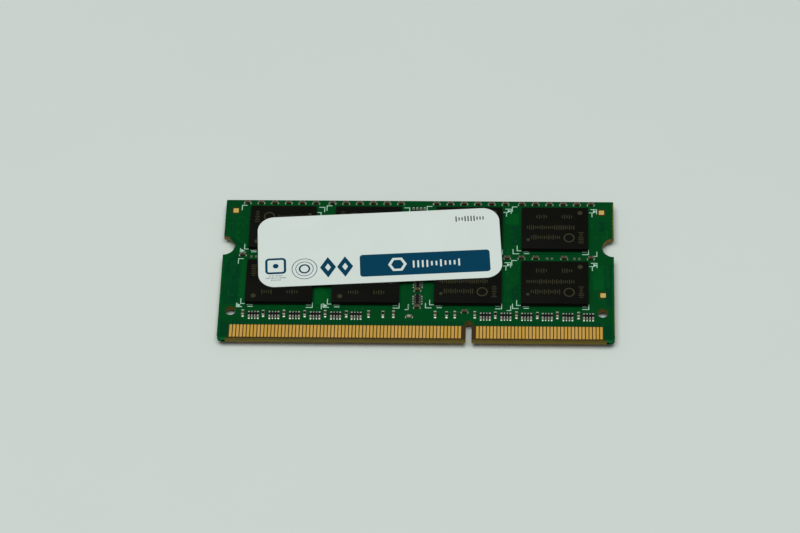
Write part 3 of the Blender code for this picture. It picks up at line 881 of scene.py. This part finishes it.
# Printed strokes round every package, from its centre: corner angles and twin lines
COMMON_STROKES = (
    ((-6.5, -3.1), (-6.5, -4.2), (-5.75, -4.2)),
    ((-5.5, -4.4), (-4.4, -4.4)), ((-5.3, -4.8), (-4.4, -4.8)),
    ((4.7, -4.4), (5.55, -4.4)), ((4.7, -4.95), (5.8, -4.95), (5.8, -3.9)),
)
# The strokes of the left packages and of the right ones, which lie half a turn round
LEFT_STROKES = (
    ((7.35, -4.2), (7.35, -5.3)), ((6.1, 5.05), (7.05, 5.05), (7.05, 4.0)),
    ((5.75, 3.9), (6.45, 3.9), (6.45, 3.0)), ((-7.4, 4.3), (-7.4, 5.4), (-6.5, 5.4)),
    ((-7.2, -4.05), (-7.2, -4.9), (-6.2, -4.9)),
)
RIGHT_STROKES = (
    ((-7.2, -3.85), (-7.2, -4.85), (-6.15, -4.85)), ((-7.4, 4.3), (-7.4, 5.4), (-6.5, 5.4)),
    ((5.9, 4.2), (6.65, 4.2)), ((6.45, 4.2), (6.45, 3.25)), ((6.2, 4.9), (7.25, 4.9), (7.25, 3.9)),
)
# A triangle stands at the corner that the first ball is nearest.
LEFT_TRIANGLE, RIGHT_TRIANGLE = (-6.85, -4.55), (6.85, 4.45)
# Strokes away from the packages, from the board's middle
OTHER_STROKES = (
    ((30.85, 4.1), (30.85, 3.1), (30.3, 3.1)), ((-1.35, -7.4), (-1.35, -8.55), (-2.0, -8.55)),
    ((-29.0, 3.9), (-28.0, 3.9)), ((15.4, -8.6), (16.1, -8.6), (16.1, -7.6)),
)
SILK_INK = 0.014
SILK_LIFT = 0.004


class MODULE_OT_silkscreen(bpy.types.Operator):
    """Print the plain marks on both faces of the board"""
    bl_idname = "memory_module.silkscreen"
    bl_label = "Silkscreen"

    def execute(self, context):
        low = upper_face() + SILK_LIFT
        parts = []
        for number in range(1, 9):
            x, y, _ = node_box(f"memory_top_{number}")[2]
            own, corner = (LEFT_STROKES, LEFT_TRIANGLE) if x < 0 else (RIGHT_STROKES, RIGHT_TRIANGLE)
            strokes = [ribbon(line, 0.15, SILK_INK, "silkscreen_ink") for line in COMMON_STROKES + own]
            strokes.append(turned([(0.42, 0.0), (0.4, SILK_INK)], "silkscreen_ink", (*corner, 0.0), 3))
            parts += copies(strokes, [(x, y, low, 0.0)])
        parts += [ribbon(line, 0.14, SILK_INK, "silkscreen_ink", low) for line in OTHER_STROKES]
        show("silkscreen_top", parts)
        show("silkscreen_bottom", under(parts))
        return {"FINISHED"}


# Packages

# A package's laser print, from its centre: rows of (length, height, x, y, turn), a ring and a dot
PRINT_ROWS = (
    (2.1, 0.9, -2.3, 2.45, 0), (2.0, 0.9, 2.1, 2.45, 0), (8.4, 0.95, -0.75, 0.1, 0),
    (5.2, 1.0, -1.6, -2.05, 0), (2.6, 0.9, 4.5, -2.1, 90),
)
PRINT_RING, PRINT_RING_RADIUS = (2.45, -2.15), 0.85
SMALL_DOT, CORNER_DOT = (-4.6, -2.6, 0.0), (4.35, 3.3, 0.0)


def stroke_row(row_length, height, pitch, chance, finish, thick):
    """A row of plain upright strokes of chance heights, standing for a line of print."""
    count = max(2, int(row_length / pitch))
    places = (np.arange(count) + 0.5) * row_length / count - row_length / 2
    tall = np.where(chance.random(count) < 0.5, 1.0, 0.62)
    parts = []
    for share in (1.0, 0.62):
        spots = [(x, 0.0, 0.0, 0.0) for x in places[tall == share]]
        stroke = [block((pitch * 0.42, height * share, thick), finish, radius=0.01, edge=thick / 4)]
        parts += copies(stroke, spots) if spots else []
    return parts


def package_print(size, top, chance):
    """Laser marks of one package: strokes for the lines of print, a plain ring where a mark stood,
    a small dot, and the dot that marks the corner of the first ball."""
    parts = []
    for row_length, height, x, y, turn in PRINT_ROWS:
        row = stroke_row(row_length, height, 0.36, chance, "laser_mark", size.mark)
        parts += copies(row, [(x, y, top, turn)])
    ring = circle(PRINT_RING, PRINT_RING_RADIUS, steps=24)[:-1]
    parts.append(ribbon(ring, 0.22, size.mark, "laser_mark", top, closed=True))
    for radius, centre, sides in ((0.3, SMALL_DOT, 12), (size.dot / 2, CORNER_DOT, 24)):
        rows = [(radius, top), (radius - 0.01, top + size.mark)]
        parts.append(turned(rows, "laser_mark", centre, sides))
    return parts


def ball_spots(size):
    """Places of the 78 balls: thirteen rows of three and three, with a bare middle."""
    rows = (np.arange(13) - 6) * size.ball_pitch
    columns = np.array([-4, -3, -2, 2, 3, 4]) * size.ball_pitch
    x, y = np.meshgrid(rows, columns)
    return np.pad(np.stack([x.ravel(), y.ravel()], axis=-1), ((0, 0), (0, 2)))


def package_parts(size, box_size, standoff, chance):
    """One memory package, standing on a board at height 0: balls, substrate, moulded cap, marks."""
    footprint, edge = box_size[:2], size.edge
    split, high = standoff + size.substrate, standoff + box_size[2]
    base = raised(footprint, 0.08, [(0.0, standoff), (0.0, split)], "sawn_substrate", steps=2)
    cap = raised(footprint, 0.12, [
        (0.012, split), (0.004, split + 0.01), (0.0, high - edge), (edge * 0.3, high - edge * 0.3),
        (edge, high),
    ], "moulded_epoxy", steps=3)
    half = size.ball / 2
    ball = turned([(half * 0.78, 0.0), (half, standoff * 0.35), (half, standoff * 0.65),
                   (half * 0.78, standoff)], "reflowed_solder", sides=8)
    return [base, cap] + copies([ball], ball_spots(size)) + package_print(size, high, chance)


class MODULE_OT_packages(bpy.types.Operator):
    """Make the sixteen memory packages"""
    bl_idname = "memory_module.packages"
    bl_label = "Memory packages"

    def execute(self, context):
        settings = context.scene.memory_module
        size = in_mm(settings.packages)
        chance = np.random.default_rng(settings.stage.seed)
        top = upper_face()
        standoff = node_box("memory_top_1")[0][2] - top
        for face in ("top", "bottom"):
            for number in range(1, 9):
                node = f"memory_{face}_{number}"
                low, high, (x, y, _) = node_box(node)
                parts = package_parts(size, high - low, standoff, chance)
                turn = 180.0 if x < 0 else 0.0
                if face == "top":
                    parts = copies(parts, [(x, y, top, turn)])
                else:
                    parts = under(copies(parts, [(-x, y, top, turn)]))
                show(f"package_{face}_{number}", parts, [node])
        return {"FINISHED"}


# The identity memory, in millimetres: rows of (inset, height) drafted both ways from its seam
IDENTITY_BODY, IDENTITY_SEAM, IDENTITY_TOP = (3.0, 4.4), 0.55, 1.0
IDENTITY_PROFILE = ((0.09, 0.1), (0.03, 0.5), (0.0, IDENTITY_SEAM), (0.03, 0.6), (0.09, 0.96),
                    (0.13, IDENTITY_TOP))
IDENTITY_REACH = 3.2


def lead_part(size, body_half, reach, middle, foot):
    """One gull-wing lead along +Y: flat out of the body, down on a smooth S, and flat on its pad.

    The S is three squares less two cubes of the share of the way down. The strip's two faces stand
    half its thickness off that line, square to it."""
    heel = reach - size.lead_foot
    shoulder = body_half + 0.12
    y = np.concatenate([[body_half - 0.15], np.linspace(shoulder, heel, 9), [reach]])
    share = np.clip((y - shoulder) / (heel - shoulder), 0.0, 1.0)
    z = middle + (foot - middle) * (3 * share**2 - 2 * share**3)
    slope = np.gradient(z, y)
    tilt = np.sqrt(1 + slope**2)
    half = size.lead_thickness / 2
    upper = np.stack([y - slope / tilt * half, z + half / tilt], axis=-1)
    lower = np.stack([y + slope / tilt * half, z - half / tilt], axis=-1)
    side = np.array([-1, 1, 1, -1]) * size.lead_width / 2
    faces = np.stack([upper, upper, lower, lower], axis=1)
    across = np.broadcast_to(side, faces.shape[:2])
    return skin(np.concatenate([across[..., None], faces], axis=-1), "plated_tin")


def identity_parts(size, pad):
    """The identity memory on a board at height 0: a drafted body, eight leads and their pads."""
    body = raised(IDENTITY_BODY, 0.14, IDENTITY_PROFILE, "moulded_epoxy", steps=3)
    dot = turned([(0.28, IDENTITY_TOP), (0.27, IDENTITY_TOP + size.mark)], "laser_mark",
                 (-0.95, -1.6, 0.0), 16)
    x = (np.arange(4) - 1.5) * size.lead_pitch
    spots = [(place, 0.0, 0.0, turn) for place in x for turn in (0.0, 180.0)]
    foot = 0.05 + size.lead_thickness / 2
    lead = lead_part(size, IDENTITY_BODY[1] / 2, IDENTITY_REACH, IDENTITY_SEAM, foot)
    land = block((0.36, 1.0, pad), "reflowed_solder", (0.0, 3.0, 0.0), radius=0.08, edge=0.01)
    joint = copies([fillet(0.3, 0.22, 0.1)], [(0.0, 3.18, 0.0, 90.0)])
    return [body, dot] + copies([lead, land] + joint, spots)


class MODULE_OT_identity(bpy.types.Operator):
    """Make the identity memory with its eight leads"""
    bl_idname = "memory_module.identity"
    bl_label = "Identity memory"

    def execute(self, context):
        settings = context.scene.memory_module
        x, y, _ = node_box("identity_memory")[2]
        parts = identity_parts(in_mm(settings.packages), in_mm(settings.chips).pad)
        show("identity_chip", copies(parts, [(x, y, upper_face(), 0.0)]),
             ["identity_memory"])
        return {"FINISHED"}


# Chip parts

def fillet(width, reach, rise):
    """Solder run out along +X from a terminal: its height falls with the square of what is left
    of its reach, and it is crowned across."""
    along = np.linspace(0.0, 1.0, 5)[:, None]
    across = np.array([1.0, 0.8, 0.0, -0.8, -1.0]) * width / 2
    crown = np.array([0.0, 0.8, 1.0, 0.8, 0.0])
    height = rise * (1 - along) ** 2 + 0.03 * (1 - along**4)
    z = height * crown + 0.002 * crown
    y = np.broadcast_to(across, z.shape) * (1.0 - 0.35 * along**3)
    x = np.broadcast_to(along * reach, z.shape)
    return skin(np.stack([x, y, z], axis=-1), "reflowed_solder")


def both_ways(parts):
    """The parts as they are and turned half round."""
    return copies(parts, [(0, 0, 0, 0), (0, 0, 0, 180)])


def single_parts(size, height, body_finish, top_finish=None, cap_finish="plated_tin", land=0.4):
    """A two-ended chip part along X on a board at height 0: body, end caps, solder and pads."""
    end, wide, cap, seat = size.single_length / 2, size.single_width, size.cap, size.seat
    inner = 2 * end - 2 * cap + 0.1
    parts = [block((inner, wide - 0.04, height - 0.02), body_finish, (0.0, 0.0, seat), edge=0.02)]
    if top_finish:
        place = (0.0, 0.0, seat + height - 0.025)
        parts.append(block((inner, wide - 0.08, 0.02), top_finish, place, edge=0.01))
    metal = block((cap, wide, height), cap_finish, (end - cap / 2, 0.0, seat), radius=0.05,
                  edge=0.04, steps=2)
    joint = copies([fillet(wide * 0.8, 0.24, height * 0.55)], [(end - 0.03, 0.0, 0.0, 0.0)])
    mound = raised((land, wide + 0.06), 0.16, [(0.0, 0.0), (0.03, 0.05), (0.1, 0.11), (0.15, 0.13)],
                   "reflowed_solder", (end + 0.01, 0.0, 0.0), steps=2)
    return parts + both_ways([metal, mound] + joint)


def array_parts(size, cap_finish="reflowed_solder"):
    """A four-element resistor array along X on a board at height 0: a white ceramic slab under
    black glaze, eight wrap-round terminals, and solder in front of each."""
    low, high, _ = node_box("resistor_array_1")
    long, wide, tall = high - low
    seat = size.seat
    slab = block((long, wide - 0.14, tall * 0.4), "alumina", (0.0, 0.0, seat), edge=0.02)
    glaze = block((long - 0.02, wide - 0.16, tall * 0.55), "resistor_glaze",
                  (0.0, 0.0, seat + tall * 0.38), radius=0.06, edge=0.03)
    parts = [slab, glaze]
    # The outer terminals are wider, and stand out by what they gain.
    for width, far in ((size.array_terminal - 0.05, 0.5), (size.array_terminal + 0.06, 1.53)):
        terminal = block((width, 0.27, tall), cap_finish, (0.0, -wide / 2 + 0.135, seat), edge=0.05)
        land = raised((width + 0.02, 0.44), 0.08, [(0.0, 0.0), (0.02, 0.04), (0.07, 0.07)],
                      "reflowed_solder", (0.0, -wide / 2 - 0.16, 0.0))
        joint = copies([fillet(width + 0.02, 0.38, tall * 0.95)],
                       [(0.0, -wide / 2 + 0.02, 0.0, -90.0)])
        place = far * size.array_pitch
        row = [(way * place, 0.0, 0.0, turn) for way in (-1, 1) for turn in (0.0, 180.0)]
        parts += copies([terminal, land] + joint, row)
    return parts


# Chip parts that have no node of their own, in millimetres from the board's middle
UPRIGHT_ROW = -9.62
UPRIGHT_RESISTORS = (-26.1, -19.0, -11.9, -5.65, 5.2, 13.5, 20.65)
UPRIGHT_CAPACITORS = (-29.6, -22.55, -15.5, -8.1, -3.85, 3.25, 6.6, 10.0, 17.1, 24.05, 27.65)
TURNED_OVER_RESISTOR = (-1.2, -10.1)
MIDDLE_ROW = 2.55
LEVEL_CAPACITORS = (
    (8.25, -9.0), (0.1, -8.1), (0.1, -4.5), (25.2, MIDDLE_ROW), (29.8, MIDDLE_ROW), (-30.3, 2.9),
    *((x, MIDDLE_ROW) for x in (-26.7, -24.2, -19.3, -13.9, -11.4, -6.6, 3.1, 5.5, 10.3)),
)
EMPTY_LANDS = ((22.7, MIDDLE_ROW), (27.4, MIDDLE_ROW), (-28.4, 2.6))
TOP_ARRAYS, UNDER_ARRAYS, EDGE_CAPACITORS, MIDDLE_CAPACITORS = 14, 12, 24, 3


def placed(parts, spots, turn=0.0):
    """Copies of the parts on the board's upper face, at spots whose first two values are x and y."""
    top = upper_face()
    return copies(parts, [(*spot[:2], top, turn) for spot in spots])


class MODULE_OT_chips(bpy.types.Operator):
    """Make the chip parts that have CAD nodes: arrays and capacitors"""
    bl_idname = "memory_module.chips"
    bl_label = "Arrays and capacitors"

    def execute(self, context):
        size = in_mm(context.scene.memory_module.chips)
        # The terminals are the same either way; the upright arrays get the darker plated tin as a
        # painted shade, for the highlight that terminals turned sideways don't catch.
        level, upright = array_parts(size), array_parts(size, "plated_tin")
        for number in range(1, TOP_ARRAYS + 1):
            node = f"resistor_array_{number}"
            low, high, middle = node_box(node)
            stands = high[1] - low[1] > high[0] - low[0]
            parts = placed(upright, [middle], 90.0) if stands else placed(level, [middle])
            show(f"array_{number}", parts, [node])
        parts = single_parts(size, size.single_width, "sintered_ceramic")
        for row, count in (("edge", EDGE_CAPACITORS), ("middle", MIDDLE_CAPACITORS)):
            for number in range(1, count + 1):
                node = f"{row}_capacitor_{number}"
                show(f"{row}_chip_{number}", placed(parts, [node_box(node)[2]]), [node])
        return {"FINISHED"}


class MODULE_OT_small_chips(bpy.types.Operator):
    """Make the other chip parts of the upper face, and all of the lower face's"""
    bl_idname = "memory_module.small_chips"
    bl_label = "Other chip parts"

    def execute(self, context):
        size = in_mm(context.scene.memory_module.chips)
        thick, tall = size.resistor_height, size.single_width
        soldered = {"cap_finish": "reflowed_solder", "land": 0.5}
        resistor = single_parts(size, thick, "alumina", "resistor_glaze", **soldered)
        capacitor = single_parts(size, tall, "sintered_ceramic")
        upright = single_parts(size, tall, "sintered_ceramic", **soldered)
        resistors = placed(resistor, [(x, UPRIGHT_ROW) for x in UPRIGHT_RESISTORS], 90.0)
        # One resistor lies on its face, with its bare alumina up.
        resistors += placed(single_parts(size, thick, "alumina"), [TURNED_OVER_RESISTOR])
        capacitors = placed(upright, [(x, UPRIGHT_ROW) for x in UPRIGHT_CAPACITORS], 90.0)
        capacitors += placed(capacitor, LEVEL_CAPACITORS)
        bare = both_ways([block((0.42, 0.5, size.pad), "plated_tin", (0.42, 0.0, 0.0), radius=0.1,
                                edge=0.01, steps=2)])
        show("single_resistors_top", resistors)
        show("single_capacitors_top", capacitors)
        show("empty_lands", placed(bare, EMPTY_LANDS))

        edge = [node_box(f"edge_capacitor_{i}")[2] for i in range(1, EDGE_CAPACITORS + 1)]
        arrays = [node_box(f"resistor_array_{i}")[2] for i in range(1, UNDER_ARRAYS + 1)]
        show("single_resistors_bottom", under(resistors))
        show("capacitors_bottom", under(capacitors + placed(capacitor, edge)))
        show("arrays_bottom", under(placed(array_parts(size), arrays)))
        return {"FINISHED"}


# Label print, in millimetres from the label's middle
BLUE_BLOCK, BLUE_BLOCK_SIZE = (7.74, -3.85), (22.4, 4.7)
SQUARE_SIGN, SQUARE_SIGN_SIZE = (-17.95, -3.1), (3.2, 3.0)
RING_SIGN, RINGS = (-13.0, -3.95), ((2.15, 0.12), (1.5, 0.12), (0.85, 0.3))
LOZENGE = np.array([(0.95, 0.0), (0.0, 1.5), (-0.95, 0.0), (0.0, -1.5)])
LOZENGE_SIGNS = ((-8.95, -3.83), (-6.0, -3.83))
HEXAGON, HEXAGON_RADIUS = (3.0, -3.85), 1.35
SMALL_ROWS = ((-5.2, 2.4), (-5.65, 3.6), (-6.1, 1.7))


class MODULE_OT_label(bpy.types.Operator):
    """Make the label and its plain print"""
    bl_idname = "memory_module.label"
    bl_label = "Label"

    def execute(self, context):
        settings = context.scene.memory_module
        size = in_mm(settings.label)
        ink = size.ink
        chance = np.random.default_rng(settings.stage.seed + 1)
        low, high, middle = node_box("label")
        thick = high[2] - low[2]
        spot = [(middle[0], middle[1], low[2], math.degrees(size.turn))]
        film = raised((size.label_length, size.label_width), size.radius, [
            (0.02, 0.0), (0.0, 0.02), (0.0, thick - 0.02), (0.02, thick),
        ], "label_film", steps=14)
        show("label_sheet", copies([film], spot), ["label"])

        def outlined(path, width, finish="blue_ink", height=thick):
            return ribbon(path, width, ink, finish, height, closed=True)

        def strokes(place, height, row_length, tall, pitch, finish):
            row = stroke_row(row_length, tall, pitch, chance, finish, ink)
            return copies(row, [(*place, height, 0.0)])

        blue = [sheet(round_outline(BLUE_BLOCK_SIZE, 0.55, BLUE_BLOCK), ink, "blue_ink", thick)]
        blue.append(outlined(round_outline(SQUARE_SIGN_SIZE, 0.5, SQUARE_SIGN), 0.42))
        blue.append(turned([(0.5, 0.0), (0.49, ink)], "blue_ink", (*SQUARE_SIGN, thick), 24))
        blue += [outlined(circle(RING_SIGN, radius, steps=40)[:-1], width) for radius, width in RINGS]
        blue += [outlined(LOZENGE + place, 0.75) for place in LOZENGE_SIGNS]
        for y, reach in SMALL_ROWS:
            blue += strokes((SQUARE_SIGN[0], y), thick, reach, 0.26, 0.22, "blue_ink")
        hexagon = circle(HEXAGON, HEXAGON_RADIUS, steps=6)[:-1]
        white = [outlined(hexagon, 0.45, "label_film", thick + ink)]
        white += strokes((9.7, -3.95), thick + ink, 8.6, 1.5, 0.72, "label_film")
        dark = strokes((15.85, 5.4), thick, 5.2, 1.15, 0.5, "dark_ink")
        for name, print_parts in (("blue", blue), ("white", white), ("dark", dark)):
            show(f"label_{name}_print", copies(print_parts, spot))
        return {"FINISHED"}


# Stage, in metres
SOFTBOX = (1.1, 0.8)
SOFTBOX_PLACE, SOFTBOX_TILT = (-0.06, -0.2, 1.3), 0.153
CAMERA_AIM, AIM_BELOW_TOP = (-0.00304, 0.00064), 0.00004


class MODULE_OT_stage(bpy.types.Operator):
    """Lay the floor, hang the lights and set the camera"""
    bl_idname = "memory_module.stage"
    bl_label = "Stage"

    def execute(self, context):
        scene = context.scene
        size = scene.memory_module.stage
        half = size.floor_size / 2
        corners = [(-half, -half, 0.0), (half, -half, 0.0), (half, half, 0.0), (-half, half, 0.0)]
        mesh = bpy.data.meshes.new("floor")
        mesh.from_pydata(corners, [], [(0, 1, 2, 3)])
        mesh.materials.append(bpy.data.materials["floor_card"])
        floor = bpy.data.objects.new("floor", mesh)
        scene.collection.objects.link(floor)

        world = bpy.data.worlds.new("room")
        world.use_nodes = True
        tree = world.node_tree
        tree.nodes.clear()
        sky = add_node(tree, "Background", Color=(*size.light_tint, 1.0), Strength=size.room)
        add_node(tree, "OutputWorld", Surface=sky)
        scene.world = world

        lamp = bpy.data.lights.new("overhead_softbox", "AREA")
        lamp.shape = "RECTANGLE"
        lamp.size, lamp.size_y = SOFTBOX
        lamp.energy = size.key_power
        lamp.color = size.light_tint
        hung = bpy.data.objects.new("overhead_softbox", lamp)
        tilt = Matrix.Rotation(SOFTBOX_TILT, 4, "X")
        hung.matrix_world = Matrix.Translation(SOFTBOX_PLACE) @ tilt
        scene.collection.objects.link(hung)

        # From straight above its aim, the camera rolls, leans to its elevation and turns to its
        # azimuth, and it stands back by its distance.
        lens = bpy.data.cameras.new("camera")
        lens.lens = size.lens
        lens.sensor_width = 36.0
        lens.clip_start = 0.01
        camera = bpy.data.objects.new("camera", lens)
        aim = Matrix.Translation((*CAMERA_AIM, node_box("board")[1][2] * MM - AIM_BELOW_TOP))
        turn = Matrix.Rotation(size.azimuth, 4, "Z")
        lean = Matrix.Rotation(math.pi / 2 - size.elevation, 4, "X")
        roll = Matrix.Rotation(size.roll, 4, "Z")
        camera.matrix_world = aim @ turn @ lean @ roll @ Matrix.Translation((0.0, 0.0, size.distance))
        scene.collection.objects.link(camera)
        scene.camera = camera
        scene.view_settings.view_transform = "Standard"
        return {"FINISHED"}


OPERATORS = (
    MODULE_OT_finishes, MODULE_OT_board, MODULE_OT_copper, MODULE_OT_silkscreen,
    MODULE_OT_packages, MODULE_OT_identity, MODULE_OT_chips, MODULE_OT_small_chips,
    MODULE_OT_label, MODULE_OT_stage,
)


class MODULE_PT_panel(bpy.types.Panel):
    """Lists the steps that build the module"""
    bl_idname = "MODULE_PT_panel"
    bl_label = "Memory module"
    bl_space_type = "VIEW_3D"
    bl_region_type = "UI"
    bl_category = "Memory module"

    def draw(self, context):
        column = self.layout.column()
        for step in OPERATORS:
            column.operator(step.bl_idname)
        settings = context.scene.memory_module
        for name in ModuleSettings.__annotations__:
            group = getattr(settings, name)
            column.label(text=name.title())
            for key in type(group).__annotations__:
                column.prop(group, key)


CLASSES = (
    BoardSettings, PackageSettings, ChipSettings, LabelSettings, FinishSettings, StageSettings,
    ModuleSettings, *OPERATORS, MODULE_PT_panel,
)


def register():
    """Add the settings, the operators and the panel."""
    for made in CLASSES:
        bpy.utils.register_class(made)
    bpy.types.Scene.memory_module = PointerProperty(type=ModuleSettings)


def unregister():
    """Take them away again."""
    del bpy.types.Scene.memory_module
    for made in reversed(CLASSES):
        bpy.utils.unregister_class(made)


def main():
    """Build everything in order."""
    register()
    bpy.ops.memory_module.finishes()
    bpy.ops.memory_module.board()
    bpy.ops.memory_module.copper()
    bpy.ops.memory_module.silkscreen()
    bpy.ops.memory_module.packages()
    bpy.ops.memory_module.identity()
    bpy.ops.memory_module.chips()
    bpy.ops.memory_module.small_chips()
    bpy.ops.memory_module.label()
    bpy.ops.memory_module.stage()


if __name__ == "__main__":
    main()
